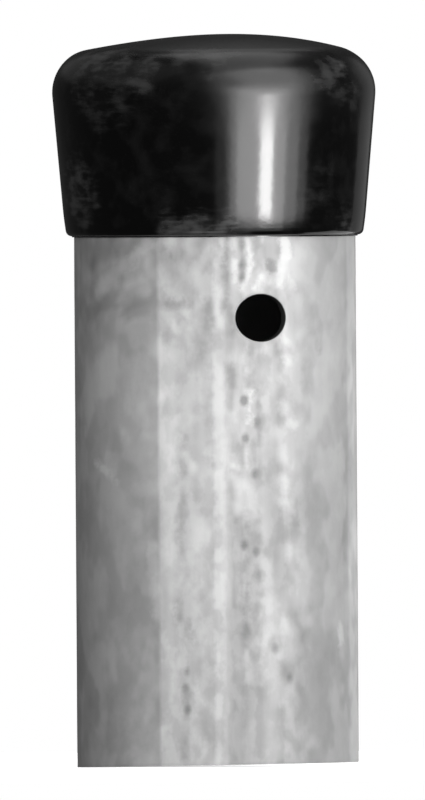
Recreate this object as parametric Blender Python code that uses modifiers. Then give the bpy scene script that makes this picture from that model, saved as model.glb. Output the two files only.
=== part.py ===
"""Top end of a round galvanised fence post, with its pressed-on black plastic cap.

The post is a welded steel tube, sawn square at the foot and drilled through both walls for a line wire or a
bolt. The cap is a thin moulded shell that flares away from the tube. Ribs inside it grip the tube and stop
the tube's end below the crown.

Metres, +Z up. The origin is the centre of the tube's sawn foot, on the surface that it stands on. The drilled
hole runs along Y, and its front mouth faces -Y.
"""

import math

import bmesh
import bpy
from mathutils import Matrix

# Steel tube
TUBE_DIAMETER = 0.060
TUBE_WALL = 0.0020
BARE_LENGTH = 0.1130
CUT_EDGE_BREAK = 0.0003

# Weld bead left inside the tube, along its seam
SEAM_TURN_FROM_HOLE = math.radians(-7.0)
BEAD_WIDTH = 0.0018
BEAD_HEIGHT = 0.0005

# Drilled hole, a little wider than high because the drill wandered sideways on the round wall
HOLE_WIDTH = 0.0113
HOLE_HEIGHT = 0.0104
HOLE_BELOW_CAP = 0.0173

# Cap shell, measured on its outside
CAP_WALL = 0.0015
CAP_HEIGHT = 0.0431
CAP_FLARE = math.radians(5.0)
SHOULDER_RADIUS = 0.0095
DOME_RADIUS = 0.123
RIM_ROUND = 0.0013
RIM_INNER_BREAK = 0.00015

# Ribs inside the cap
RIB_COUNT = 12
RIB_THICKNESS = 0.0012
RIB_START = 0.0045
RIB_LEAD_IN = 0.0020
STOP_LEDGE_HEIGHT = 0.0022
STOP_LEDGE_REACH = 0.0040

# Running clearance between the cap and the tube
CLEARANCE = 0.0003

# Facets
ROUND_STEPS = 96
HOLE_STEPS = 40
BEAD_STEPS = 6
SHOULDER_STEPS = 8
DOME_STEPS = 6
RIM_ROUND_STEPS = 5

MERGE_DISTANCE = 0.00001
SHARP_ANGLE = math.radians(35.0)
BEVEL_ANGLE = math.radians(60.0)

# Sizes that follow from the ones above
TUBE_RADIUS = TUBE_DIAMETER / 2
BORE_RADIUS = TUBE_RADIUS - TUBE_WALL
SOCKET_RADIUS = TUBE_RADIUS + CLEARANCE
RIM_RADIUS = SOCKET_RADIUS + CAP_WALL / math.cos(CAP_FLARE)


def clear_scene():
    for obj in list(bpy.data.objects):
        bpy.data.objects.remove(obj)


def new_collection(name):
    collection = bpy.data.collections.new(name)
    bpy.context.scene.collection.children.link(collection)
    return collection


def plain_material(name, colour, metallic, roughness):
    material = bpy.data.materials.new(name)
    material.use_nodes = True
    shader = material.node_tree.nodes["Principled BSDF"]
    shader.inputs["Base Color"].default_value = (*colour, 1.0)
    shader.inputs["Metallic"].default_value = metallic
    shader.inputs["Roughness"].default_value = roughness
    return material


def add_object(name, mesh, collection):
    obj = bpy.data.objects.new(name, mesh)
    collection.objects.link(obj)
    return obj


def hide_helper(obj):
    obj.hide_render = True
    obj.display_type = "WIRE"


def weld(mesh):
    """Joins points that lie on each other and turns every face outwards."""
    work = bmesh.new()
    work.from_mesh(mesh)
    bmesh.ops.remove_doubles(work, verts=work.verts, dist=MERGE_DISTANCE)
    bmesh.ops.recalc_face_normals(work, faces=work.faces)
    work.to_mesh(mesh)
    work.free()


def profile_mesh(name, points, closed):
    """A line of (radius, height) points in the XZ plane, ready to be turned about Z."""
    edges = [(i, i + 1) for i in range(len(points) - 1)]
    if closed:
        edges.append((len(points) - 1, 0))
    mesh = bpy.data.meshes.new(name)
    mesh.from_pydata([(radius, 0.0, height) for radius, height in points], edges, [])
    return mesh


def turn_profile(obj):
    screw = obj.modifiers.new("Turn about Z", "SCREW")
    screw.axis = "Z"
    screw.steps = ROUND_STEPS
    screw.render_steps = ROUND_STEPS
    screw.use_merge_vertices = True
    screw.merge_threshold = MERGE_DISTANCE
    screw.use_smooth_shade = True


def round_sharp_edges(obj, width, segments):
    bevel = obj.modifiers.new("Edge break", "BEVEL")
    bevel.width = width
    bevel.segments = segments
    bevel.limit_method = "ANGLE"
    bevel.angle_limit = BEVEL_ANGLE


def combine(obj, other, operation):
    boolean = obj.modifiers.new(f"{operation.title()} {other.name}", "BOOLEAN")
    boolean.operation = operation
    boolean.object = other


def bake_modifiers(obj):
    """Makes the modified shape the object's own mesh, smooth but for its sharp edges."""
    graph = bpy.context.evaluated_depsgraph_get()
    mesh = bpy.data.meshes.new_from_object(obj.evaluated_get(graph))
    obj.modifiers.clear()
    obj.data = mesh
    mesh.name = obj.name
    mesh.shade_smooth()
    mesh.set_sharp_from_angle(angle=SHARP_ANGLE)


def flat_outline_mesh(name, outline, thickness):
    """A closed plate of this outline in XY, with half its thickness each side of Z = 0."""
    curve = bpy.data.curves.new(name, "CURVE")
    curve.dimensions = "2D"
    curve.fill_mode = "BOTH"
    curve.extrude = thickness / 2
    spline = curve.splines.new("POLY")
    spline.points.add(len(outline) - 1)
    for point, (x, y) in zip(spline.points, outline):
        point.co = (x, y, 0.0, 1.0)
    spline.use_cyclic_u = True
    carrier = add_object(name, curve, bpy.context.scene.collection)
    graph = bpy.context.evaluated_depsgraph_get()
    mesh = bpy.data.meshes.new_from_object(carrier.evaluated_get(graph))
    bpy.data.objects.remove(carrier)
    weld(mesh)
    return mesh


def arc_points(centre, radius, start, end, steps):
    """Points on an arc about centre, from the start angle to the end angle."""
    angles = [start + (end - start) * i / steps for i in range(steps + 1)]
    return [
        (centre[0] + radius * math.cos(a), centre[1] + radius * math.sin(a))
        for a in angles
    ]


def shoulder_centre():
    """Centre of the shoulder's arc, which touches the flared skirt and runs smoothly into the dome."""
    slope = math.tan(CAP_FLARE)
    radius_at_base = RIM_RADIUS - SHOULDER_RADIUS / math.cos(CAP_FLARE)
    dome_base = CAP_HEIGHT - DOME_RADIUS
    reach = DOME_RADIUS - SHOULDER_RADIUS
    a = 1 + slope**2
    b = 2 * (radius_at_base * slope - dome_base)
    c = radius_at_base**2 + dome_base**2 - reach**2
    height = (-b + math.sqrt(b**2 - 4 * a * c)) / (2 * a)
    return radius_at_base + slope * height, height


def cap_outline(inset):
    """The cap's section from its rim to the middle of its crown, moved in from the outside by inset."""
    centre = shoulder_centre()
    dome_centre = (0.0, CAP_HEIGHT - DOME_RADIUS)
    dome_start = math.atan2(centre[1] - dome_centre[1], centre[0])
    shoulder = arc_points(centre, SHOULDER_RADIUS - inset, -CAP_FLARE, dome_start, SHOULDER_STEPS)
    dome = arc_points(dome_centre, DOME_RADIUS - inset, dome_start, math.pi / 2, DOME_STEPS)
    dome[-1] = (0.0, CAP_HEIGHT - inset)
    rim = (RIM_RADIUS - inset / math.cos(CAP_FLARE), 0.0)
    return [rim, *shoulder, *dome[1:]]


def rim_arc():
    """The rounded outside of the rim, from its flat bottom edge up to the skirt."""
    centre_radius = RIM_RADIUS - RIM_ROUND * (1 / math.cos(CAP_FLARE) - math.tan(CAP_FLARE))
    return arc_points((centre_radius, RIM_ROUND), RIM_ROUND, -math.pi / 2, -CAP_FLARE, RIM_ROUND_STEPS)


def crown_underside(radius):
    """Height of the shell's inner face, above the rim, at this distance from the axis."""
    inner = cap_outline(CAP_WALL)
    crown = [point for point in inner if point[1] >= shoulder_centre()[1]]
    for (outer_r, outer_z), (inner_r, inner_z) in zip(crown, crown[1:]):
        if inner_r <= radius <= outer_r:
            share = (radius - inner_r) / (outer_r - inner_r)
            return inner_z + share * (outer_z - inner_z)
    return crown[0][1]


# Height of the stop ledge above the cap's rim, and of the tube's top end above its foot
LEDGE_HEIGHT = crown_underside(SOCKET_RADIUS) - STOP_LEDGE_HEIGHT
TUBE_LENGTH = BARE_LENGTH + LEDGE_HEIGHT - CLEARANCE


def make_hole_drill(collection):
    """An oval cutter right through the tube along Y, at the height of the hole."""
    mesh = bpy.data.meshes.new("hole_drill")
    work = bmesh.new()
    bmesh.ops.create_cone(
        work,
        cap_ends=True,
        segments=HOLE_STEPS,
        radius1=0.5,
        radius2=0.5,
        depth=2 * TUBE_DIAMETER,
        matrix=Matrix.Rotation(math.pi / 2, 4, "X"),
    )
    bmesh.ops.scale(work, vec=(HOLE_WIDTH, 1.0, HOLE_HEIGHT), verts=work.verts)
    work.to_mesh(mesh)
    work.free()
    drill = add_object("hole_drill", mesh, collection)
    drill.location.z = BARE_LENGTH - HOLE_BELOW_CAP
    hide_helper(drill)
    return drill


def make_weld_bead(collection):
    """The low rounded bead of the seam, rooted halfway into the tube's wall at the front of the bore."""
    root = -(BORE_RADIUS + TUBE_WALL / 2)
    crest = -(BORE_RADIUS - BEAD_HEIGHT)
    foot = -BORE_RADIUS
    outline = [(-BEAD_WIDTH / 2, root)]
    for i in range(BEAD_STEPS + 1):
        across = math.pi * (1 - i / BEAD_STEPS)
        outline.append((BEAD_WIDTH / 2 * math.cos(across), foot + (crest - foot) * math.sin(across)))
    outline.append((BEAD_WIDTH / 2, root))
    length = TUBE_LENGTH - 2 * CUT_EDGE_BREAK
    bead = add_object("weld_bead", flat_outline_mesh("weld_bead", outline, length), collection)
    bead.location.z = TUBE_LENGTH / 2
    bead.rotation_euler.z = SEAM_TURN_FROM_HOLE
    hide_helper(bead)
    return bead


def make_tube(collection, helpers):
    """The post's tube: a turned wall with its cut edges broken, the bead added and the hole drilled."""
    section = [
        (TUBE_RADIUS, TUBE_LENGTH),
        (TUBE_RADIUS, 0.0),
        (BORE_RADIUS, 0.0),
        (BORE_RADIUS, TUBE_LENGTH),
    ]
    tube = add_object("post_tube", profile_mesh("post_tube", section, closed=True), collection)
    turn_profile(tube)
    round_sharp_edges(tube, CUT_EDGE_BREAK, 1)
    combine(tube, make_weld_bead(helpers), "UNION")
    combine(tube, make_hole_drill(helpers), "DIFFERENCE")
    bake_modifiers(tube)
    tube.data.materials.clear()
    tube.data.materials.append(plain_material("galvanised steel", (0.56, 0.57, 0.58), 1.0, 0.42))
    return tube


def make_rib_set(collection):
    """All the cap's ribs as one helper: each grips the tube's side and hooks over the tube's end."""
    root = cap_outline(CAP_WALL / 2)
    root_start = (RIM_RADIUS - CAP_WALL / 2 / math.cos(CAP_FLARE)) + RIB_START * math.tan(CAP_FLARE)
    ledge_radius = SOCKET_RADIUS - STOP_LEDGE_REACH
    outline = [(root_start, RIB_START)]
    outline += [point for point in root[1:] if point[0] > ledge_radius]
    outline.append((ledge_radius, crown_underside(ledge_radius) + CAP_WALL / 2))
    outline.append((ledge_radius, LEDGE_HEIGHT))
    outline.append((SOCKET_RADIUS, LEDGE_HEIGHT))
    outline.append((SOCKET_RADIUS, RIB_START + RIB_LEAD_IN))
    rib = flat_outline_mesh("cap_rib", outline, RIB_THICKNESS)
    stand = Matrix.Rotation(math.pi / 2, 4, "X")
    work = bmesh.new()
    for i in range(RIB_COUNT):
        turned = rib.copy()
        turned.transform(Matrix.Rotation(2 * math.pi * (i + 0.5) / RIB_COUNT, 4, "Z") @ stand)
        work.from_mesh(turned)
        bpy.data.meshes.remove(turned)
    mesh = bpy.data.meshes.new("cap_ribs")
    work.to_mesh(mesh)
    work.free()
    ribs = add_object("cap_ribs", mesh, collection)
    hide_helper(ribs)
    return ribs


def make_cap(collection, helpers):
    """The moulded cap: an even shell turned from its section, with the ribs grown from its inside."""
    outer = [*rim_arc(), *cap_outline(0.0)[1:]]
    inner = cap_outline(CAP_WALL)
    section = [*reversed(outer), *inner]
    cap = add_object("post_cap", profile_mesh("post_cap", section, closed=False), collection)
    turn_profile(cap)
    round_sharp_edges(cap, RIM_INNER_BREAK, 1)
    combine(cap, make_rib_set(helpers), "UNION")
    bake_modifiers(cap)
    cap.data.materials.clear()
    cap.data.materials.append(plain_material("moulded black plastic", (0.010, 0.010, 0.011), 0.0, 0.24))
    return cap


def main():
    clear_scene()
    post = new_collection("round_fence_post")
    helpers = new_collection("cutters")
    tube = make_tube(post, helpers)
    cap = make_cap(post, helpers)
    cap.parent = tube
    cap.location.z = BARE_LENGTH


main()
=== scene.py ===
"""The looks of a round galvanised fence post with its black plastic cap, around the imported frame.

The tube comes first, then the cap pressed over its end, then the studio. Metres, +Z up, with the origin at
the centre of the tube's sawn foot. The drilled hole faces -Y.
"""

import math

import bmesh
import bpy
import numpy as np
from mathutils import Matrix, Vector


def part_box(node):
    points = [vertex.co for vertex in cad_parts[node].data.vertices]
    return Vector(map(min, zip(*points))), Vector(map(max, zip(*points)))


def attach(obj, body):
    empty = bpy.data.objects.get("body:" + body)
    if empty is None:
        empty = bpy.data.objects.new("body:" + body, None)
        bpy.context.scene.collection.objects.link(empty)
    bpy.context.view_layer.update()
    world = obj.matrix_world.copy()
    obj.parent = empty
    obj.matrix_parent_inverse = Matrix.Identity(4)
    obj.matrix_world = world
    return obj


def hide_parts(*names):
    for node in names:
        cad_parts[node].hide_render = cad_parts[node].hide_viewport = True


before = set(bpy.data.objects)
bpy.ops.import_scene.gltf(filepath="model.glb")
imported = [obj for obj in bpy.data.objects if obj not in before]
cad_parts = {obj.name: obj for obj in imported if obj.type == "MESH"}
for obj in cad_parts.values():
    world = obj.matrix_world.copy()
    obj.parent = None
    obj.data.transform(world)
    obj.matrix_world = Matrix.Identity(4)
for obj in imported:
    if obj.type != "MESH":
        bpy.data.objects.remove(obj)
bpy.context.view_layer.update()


# The tube: steel strip rolled round and welded, drilled through below the cap and sawn a little out of square
# at the foot. Its zinc coat is dull silver with drawn streaks, and the sprayed band over the weld is lighter,
# rougher and pitted. The mesh starts as the flat strip, which a Geometry Nodes tree rolls and coats.
TUBE_WALL = 0.0020
EDGE_ROUND = 0.0003
FOOT_ROUND = 0.00015
SAWN_HEIGHT = 0.0001

# The drill left 11.3 by 10.4 mm, and the zinc narrows that to this mouth
MOUTH_WIDTH = 0.0112
MOUTH_HEIGHT = 0.0100
MOUTH_ABOVE_FOOT = 0.0957

SEAM_TURN = math.radians(-7.35)
BEAD_WIDTH = 0.0018
BEAD_HEIGHT = 0.0005
SCARF_WIDTH = 0.0072
SCARF_DEPTH = 0.00005
SCARF_FADE = 0.0008
SAW_SLANT = math.radians(0.7)
SAW_HIGH_SIDE = math.radians(71.0)
SAW_REACH = 0.020
LUMP_HEIGHT = 0.00006
LUMP_SIZE = 0.005
LUMP_SQUASH = 0.3
LUMP_SEED = 4.0
PIT_DEPTH = 0.00014
PIT_RADIUS = 0.0015
PIT_TALLNESS = 1.3
MERGE_REACH = 0.00001

# Turns from the hole, in degrees, and how many columns of the strip lie between them: fine over the weld's
# face and round both mouths of the hole.
COLUMN_ZONES = (
    (-120.0, -45.0, 24), (-45.0, 22.5, 90), (22.5, 152.0, 40), (152.0, 208.0, 40), (208.0, 240.0, 10),
)
ROWS_BELOW_MOUTH = 136
ROWS_ABOVE_MOUTH = 71
MOUTH_RING = 10
PATCH_RING = 20

# How far in a round edge's middle lies from its corner, as a share of its radius: 1 - cos 45 degrees
CORNER_SHARE = 0.293

# Where the larger pits lie, in millimetres to the right of the weld's middle and above the foot, and how
# strongly each shows
PITS = (
    (-0.1, 78.1, 1.0), (2.7, 73.4, 0.9), (0.1, 70.0, 0.8), (2.2, 62.5, 0.7), (-0.2, 47.4, 0.9),
    (2.3, 45.9, 0.7), (0.2, 29.7, 0.4), (-12.7, 20.4, 0.6), (-13.0, 16.8, 0.8), (-12.7, 12.1, 0.8),
    (-0.4, 107.1, 0.7), (-0.4, 104.5, 0.6), (6.5, 25.2, 0.7), (10.0, 19.0, 0.7), (-14.2, 31.9, 0.4),
    (-0.3, 111.5, 0.5),
)

# Clouds where the zinc lies lighter or darker: the middle of each in the same millimetres, how far it reaches
# round the tube and along it, and by what share it lightens or darkens. The broad dark clouds 107 to 114 mm
# up and 25 to 40 mm left of the weld are a painted shadow of the cap, just under its rim, and the light
# clouds 31 to 34 mm right of the weld brighten the painted highlight on the tube's right edge.
CLOUDS_AND_PAINTED_LIGHT = (
    (-27, 107, 18, 6, -0.20), (-36, 110, 12, 3, -0.24), (-22, 109, 2, 2, 0.14), (-16, 108, 3, 3, -0.18),
    (-9, 112, 3, 2, -0.22), (-5, 108, 1, 5, -0.14), (6, 108, 2, 4, -0.16), (11, 106, 3, 7, 0.10),
    (27, 107, 6, 5, -0.10), (-29, 98.5, 12, 2, -0.34), (-26, 93, 9, 4, -0.18), (-40, 92, 5, 5, -0.22),
    (-12, 97, 5, 5, 0.12), (-23, 81, 4, 8, 0.17), (-9, 93, 2, 7, -0.14), (-4, 92, 2, 11, -0.16),
    (0, 85, 3, 5, 0.18), (12, 86, 5, 6, 0.12), (22, 78, 7, 15, 0.10), (-39, 75, 6, 11, 0.12),
    (-16, 76, 2, 15, 0.06), (-9, 71, 3, 9, -0.14), (-26, 67, 5, 4, -0.16), (5, 62, 3, 14, -0.15),
    (10, 66, 3, 12, 0.08), (0, 58, 3, 4, 0.06), (-29, 46, 8, 12, -0.07), (-22, 52, 2, 4, 0.15),
    (-10, 50, 2, 3, 0.10), (0, 50, 3, 4, -0.14), (10, 50, 3, 3, -0.10), (8, 42, 3, 6, -0.18),
    (-23, 42, 4, 4, -0.13), (0, 37, 2, 9, 0.06), (-28, 27, 7, 4, 0.11), (-12, 26, 2, 7, 0.10),
    (12, 29, 2, 6, -0.20), (20, 27, 3, 7, -0.11), (-21, 22, 2, 7, -0.10), (-35, 16, 4, 11, 0.05),
    (11, 16, 3, 7, -0.16), (20, 13, 8, 13, -0.10), (2, 16, 2, 14, -0.06), (-25, 8, 6, 6, 0.14),
    (-9, 9, 2, 7, 0.04), (8, 8, 3, 4, -0.10), (34, 46, 5, 15, 0.27), (34, 107, 6, 8, -0.18),
    (-30, 76, 13, 14, 0.08), (-5, 76, 6, 14, -0.05), (-14, 46, 5, 14, 0.05), (-34, 107, 8, 5, -0.06),
    (-43, 16, 5, 14, 0.10), (-27, 16, 4, 12, 0.08), (-25, 112.5, 6, 1.5, -0.18), (-41, 108, 3.5, 5, 0.20),
    (-23.5, 105.5, 3, 3, 0.16), (14, 31.5, 2, 4, -0.15), (-11, 15, 1.5, 4, 0.15), (34, 77, 4, 8, 0.15),
    (1, 33, 1.3, 5, -0.16), (-20.5, 76, 2, 5, 0.15), (4, 86.5, 1.5, 4, 0.14), (17, 2, 3, 2, -0.14),
    (-27.5, 110, 3, 3, 0.18), (-26, 100, 6, 1.5, -0.13), (5.5, 89.5, 1.5, 3, -0.13),
    (-39.5, 104, 3, 3, -0.12), (-3.5, 110.7, 1.5, 3, -0.12), (2, 108, 1.2, 2.5, -0.12),
    (-24.5, 102.1, 2.4, 1.8, -0.18), (-30, 99.2, 2.2, 1.8, 0.16), (32.6, 43.8, 2.5, 3, 0.18),
    (-29.1, 104.6, 2.2, 1.8, -0.16), (10.2, 4.3, 1.6, 2, -0.15), (-20.3, 5.2, 2, 2, 0.15),
    (-12.7, 66.4, 1.5, 2, 0.16), (39.2, 99.8, 2.5, 3, -0.15), (-8.4, 1, 1.5, 2, -0.15),
    (14.9, 95, 1.6, 2.2, 0.15), (-12.1, 16, 1.5, 2, 0.15), (-25.2, 109.4, 2, 1.8, -0.14),
    (-9.4, 37.8, 1.5, 2, -0.14), (-33.6, 68.6, 3, 3, 0.10), (-30.4, 73.5, 3, 3, 0.08),
    (-28.6, 2.7, 3, 2, 0.10), (15.1, 2.7, 1.6, 2, -0.10), (39.2, 97.5, 2.5, 2, -0.12),
    (31.4, 45.6, 2.5, 2.5, 0.10), (-38.3, 114.2, 3, 2, -0.14), (18, 90.5, 1.6, 2, 0.14),
    (1.1, 82.3, 1.4, 1.8, -0.13), (-18, 95.4, 1.4, 1.8, -0.13), (2.1, 87.1, 1.4, 1.8, -0.13),
    (-7.2, 106.8, 1.4, 1.8, -0.13), (-36.7, 63.5, 2.5, 2, 0.13), (28.9, 73.9, 1.8, 2, 0.13),
    (-9.1, 113.1, 1.6, 1.8, -0.13), (-17.2, 109.3, 1.4, 1.8, 0.13), (-6.5, 67.7, 1.2, 2, 0.13),
    (-23.3, 7.1, 2, 2, 0.08), (-27.8, 51.3, 3, 3, -0.07),
)

# Soft marks on the zinc, each from one place to another in the same millimetres, with its width and how
# strongly it shows: first the bright runs, drips and scratches, then the dark stains. The thin dark lines 2.9
# to 4.3 mm left of the weld's middle, from 76 to 113 mm up, are painted shade along the step at the shaved
# weld's left border.
BRIGHT_MARKS = (
    (0.5, 112.6, 1.4, 109.0, 0.9, 0.8), (1.4, 109.0, 1.2, 105.4, 1.1, 0.8),
    (1.2, 105.4, -0.6, 102.0, 1.1, 0.7), (-2.0, 112.6, -2.1, 110.7, 1.3, 0.5),
    (-2.1, 108.6, -1.9, 103.4, 1.7, 0.7), (4.0, 104.5, 2.7, 102.4, 1.3, 0.7),
    (3.1, 101.5, 4.0, 101.1, 0.9, 0.5), (7.7, 102.8, 8.2, 102.5, 1.3, 0.7),
    (9.5, 112.5, 9.7, 107.9, 1.9, 0.8), (9.2, 107.0, 8.5, 104.7, 1.9, 0.5),
    (10.2, 104.4, 11.2, 102.7, 1.1, 0.6), (-5.8, 102.0, -5.5, 100.3, 1.7, 0.6),
    (-5.8, 99.0, -5.8, 97.3, 1.3, 0.7), (-4.7, 95.2, -4.7, 93.9, 1.1, 0.4), (9.2, 91.0, 9.8, 90.4, 1.6, 0.6),
    (9.7, 87.2, 10.1, 86.4, 1.6, 0.6), (-5.4, 82.8, -5.5, 81.1, 1.3, 0.5), (1.4, 79.6, 0.9, 73.4, 1.3, 0.7),
    (-2.1, 78.9, -2.1, 73.8, 1.1, 0.4), (0.2, 67.0, 0.4, 64.0, 0.9, 0.6), (-2.6, 64.2, -1.5, 63.8, 1.1, 0.7),
    (-5.9, 75.6, -5.9, 71.7, 1.5, 0.5), (9.0, 77.0, 9.2, 75.9, 1.7, 0.4), (10.7, 73.5, 11.5, 72.9, 1.5, 0.5),
    (9.1, 61.0, 9.1, 58.8, 1.5, 0.4), (8.6, 56.7, 9.8, 55.9, 1.5, 0.4), (-1.0, 59.5, -1.0, 55.2, 3.4, 0.25),
    (1.0, 58.5, 0.9, 54.8, 2.6, 0.25), (-10.1, 52.1, -10.2, 47.0, 3.4, 0.3),
    (-7.8, 51.7, -8.0, 48.3, 2.1, 0.25), (10.2, 46.5, 10.2, 44.3, 1.5, 0.35),
    (11.8, 44.8, 12.6, 48.2, 1.1, 0.25), (9.1, 30.7, 9.1, 29.0, 1.7, 0.3), (10.3, 26.9, 10.1, 23.7, 1.7, 0.2),
    (10.0, 17.1, 10.0, 15.4, 1.5, 0.3), (9.0, 13.2, 10.2, 11.5, 1.3, 0.3), (-10.8, 8.2, -10.9, 5.7, 1.5, 0.3),
    (-13.2, 38.9, -13.3, 36.8, 1.3, 0.3), (-17.2, 54.7, -16.8, 44.1, 1.9, 0.25),
    (-16.3, 44.1, -16.4, 39.4, 1.7, 0.25), (-10.7, 37.6, -10.7, 33.0, 1.3, 0.25),
    (-10.2, 105.4, -9.8, 103.3, 1.7, 0.3), (-9.9, 94.8, -9.6, 93.1, 1.7, 0.2),
    (-20.5, 111.7, -26.1, 107.6, 2.4, 0.35), (-26.1, 107.6, -35.6, 101.7, 3.0, 0.25),
    (-37.2, 64.9, -33.1, 63.3, 1.1, 0.5), (-33.1, 63.3, -29.3, 60.8, 1.1, 0.45),
    (-23.8, 59.5, -19.7, 59.4, 3.0, 0.25), (-20.2, 47.3, -20.0, 38.8, 1.7, 0.35),
    (-19.4, 38.8, -19.5, 32.4, 1.1, 0.35), (-25.1, 3.2, -21.3, 1.1, 2.6, 0.2),
    (-26.1, 11.7, -26.1, 6.8, 1.5, 0.15), (25.7, 29.6, 26.0, 26.4, 1.7, 0.55),
)
DARK_MARKS = (
    (-0.3, 112.0, -0.1, 111.1, 1.5, 0.5), (2.3, 112.2, 2.5, 110.5, 1.3, 0.4),
    (-3.6, 112.6, -3.6, 107.0, 0.9, 0.6), (-3.6, 106.2, -3.6, 100.5, 0.9, 0.5),
    (-3.8, 100.3, -4.3, 98.1, 0.9, 0.5), (-3.2, 98.6, -3.0, 93.0, 0.6, 0.35),
    (-0.4, 107.5, -0.4, 106.6, 1.1, 0.6), (-0.4, 105.4, -0.4, 103.7, 1.1, 0.6),
    (6.1, 107.0, 6.2, 106.2, 1.9, 0.7), (5.9, 101.9, 6.3, 101.7, 0.9, 0.3),
    (-17.2, 110.2, -17.0, 108.9, 1.5, 0.4), (-11.9, 108.4, -11.9, 106.7, 1.3, 0.35),
    (-16.4, 98.9, -12.2, 98.6, 1.1, 0.45), (-7.7, 99.0, -7.5, 97.7, 1.7, 0.4),
    (-7.7, 95.6, -8.6, 93.5, 1.9, 0.3), (-9.0, 92.2, -10.3, 88.8, 3.0, 0.25),
    (-13.1, 95.6, -12.9, 94.4, 1.5, 0.2), (-16.4, 92.7, -16.5, 91.4, 1.1, 0.3),
    (-10.3, 90.5, -11.2, 87.1, 3.0, 0.2), (1.3, 88.3, 1.2, 81.9, 0.9, 0.35),
    (-3.1, 84.9, -2.9, 81.5, 1.1, 0.4), (-2.9, 78.9, -2.9, 76.8, 1.1, 0.4), (2.7, 77.4, 2.7, 76.4, 0.9, 0.4),
    (-17.2, 77.8, -16.6, 75.6, 0.9, 0.2), (-13.4, 75.6, -13.2, 73.9, 1.3, 0.2),
    (-11.0, 77.7, -10.8, 76.0, 1.3, 0.2), (-10.6, 73.0, -10.4, 71.3, 1.3, 0.2),
    (-13.0, 70.0, -13.2, 68.3, 1.1, 0.4), (-13.5, 64.1, -13.3, 62.4, 1.3, 0.3),
    (-8.3, 66.2, -7.7, 65.3, 1.1, 0.3), (-13.3, 58.6, -13.4, 57.4, 1.3, 0.4),
    (-10.1, 58.1, -10.3, 56.8, 1.3, 0.25), (-10.1, 55.1, -9.9, 54.3, 1.1, 0.25),
    (-8.0, 53.0, -7.6, 52.3, 1.5, 0.2), (-13.6, 55.0, -13.6, 53.6, 1.1, 0.35),
    (-13.8, 51.5, -13.6, 50.4, 1.3, 0.45), (-13.9, 47.8, -13.8, 46.6, 1.1, 0.35),
    (-1.5, 68.3, -0.6, 64.9, 1.3, 0.35), (2.2, 69.1, 2.2, 64.0, 0.9, 0.4),
    (-4.3, 63.6, -4.5, 61.9, 1.1, 0.25), (-3.0, 63.2, 1.1, 62.3, 0.9, 0.35),
    (-3.2, 61.0, -3.1, 54.2, 0.9, 0.3), (-1.6, 52.9, 0.6, 53.6, 1.1, 0.4), (0.4, 51.6, 0.6, 49.9, 1.1, 0.45),
    (10.8, 53.3, 11.8, 51.6, 1.3, 0.35), (11.5, 50.3, 12.3, 49.0, 1.1, 0.25),
    (11.0, 43.9, 11.7, 42.8, 0.9, 0.3), (2.5, 42.3, 2.5, 39.7, 1.1, 0.45), (0.1, 44.0, 0.1, 39.7, 1.1, 0.3),
    (0.3, 39.3, 0.2, 28.6, 1.0, 0.55), (1.3, 24.4, 2.8, 18.8, 0.9, 0.4), (0.1, 16.0, -0.1, 10.3, 1.1, 0.4),
    (-0.8, 11.6, -0.6, 8.8, 1.3, 0.25), (6.0, 26.5, 6.7, 24.8, 1.3, 0.35), (8.8, 20.0, 9.8, 18.3, 1.7, 0.35),
    (12.1, 17.5, 12.8, 16.2, 1.3, 0.35), (11.2, 11.5, 11.5, 10.0, 1.1, 0.4),
    (-12.0, 30.4, -12.0, 27.4, 1.3, 0.35), (-12.7, 15.5, -12.8, 10.8, 1.1, 0.4),
    (-14.1, 35.1, -14.4, 31.3, 1.1, 0.4), (-13.7, 4.4, -13.7, 2.3, 1.7, 0.3),
    (-8.5, 44.0, -9.8, 42.8, 1.7, 0.15), (-9.1, 8.9, -8.7, 7.4, 1.5, 0.2), (-8.3, 6.1, -7.9, 5.0, 1.5, 0.25),
    (-8.6, 21.9, -9.5, 20.2, 1.5, 0.2), (-12.7, 27.0, -12.9, 25.9, 1.3, 0.2),
    (18.6, 89.9, 18.9, 88.6, 0.9, 0.35), (14.5, 84.8, 14.7, 80.1, 1.3, 0.15),
    (-44.6, 99.6, -45.2, 74.0, 1.7, 0.15), (-42.4, 78.3, -42.7, 63.4, 1.1, 0.15),
)


def linear(hex_code):
    """An sRGB hex colour as the linear colour that a shader takes."""
    channels = [int(hex_code[i : i + 2], 16) / 255 for i in (1, 3, 5)]
    return (*[c / 12.92 if c <= 0.04045 else ((c + 0.055) / 1.055) ** 2.4 for c in channels], 1.0)


def add(tree, kind, inputs=None, out=0, **settings):
    """Adds a node with its settings and inputs. A socket is linked, and anything else is a constant."""
    made = tree.nodes.new(kind)
    for name, value in settings.items():
        setattr(made, name, value)
    for key, value in (inputs or {}).items():
        if isinstance(value, bpy.types.NodeSocket):
            tree.links.new(value, made.inputs[key])
        else:
            made.inputs[key].default_value = value
    return made if out is None else made.outputs[out]


def placed(name, data):
    """An object that holds this data, linked to the scene."""
    made = bpy.data.objects.new(name, data)
    bpy.context.scene.collection.objects.link(made)
    return made


def new_tree(name, sockets):
    """A Geometry Nodes tree with these named inputs, listed by kind, and what its group input node gives."""
    tree = bpy.data.node_groups.new(name, "GeometryNodeTree")
    tree.interface.new_socket("Geometry", in_out="OUTPUT", socket_type="NodeSocketGeometry")
    for kind, labels in {"Geometry": ("Geometry",), **sockets}.items():
        for label in labels:
            tree.interface.new_socket(label, in_out="INPUT", socket_type=f"NodeSocket{kind}")
    return tree, tree.nodes.new("NodeGroupInput").outputs


def grow(piece, tree, values):
    """Runs the tree on the piece with these named values and keeps the result as the piece's plain mesh."""
    modifier = piece.modifiers.new(tree.name, "NODES")
    modifier.node_group = tree
    for socket in tree.interface.items_tree:
        if socket.name in values and socket.in_out == "INPUT":
            modifier[socket.identifier] = values[socket.name]
    graph = bpy.context.evaluated_depsgraph_get()
    mesh = bpy.data.meshes.new_from_object(piece.evaluated_get(graph))
    piece.modifiers.clear()
    piece.data = mesh
    mesh.name = piece.name


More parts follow.
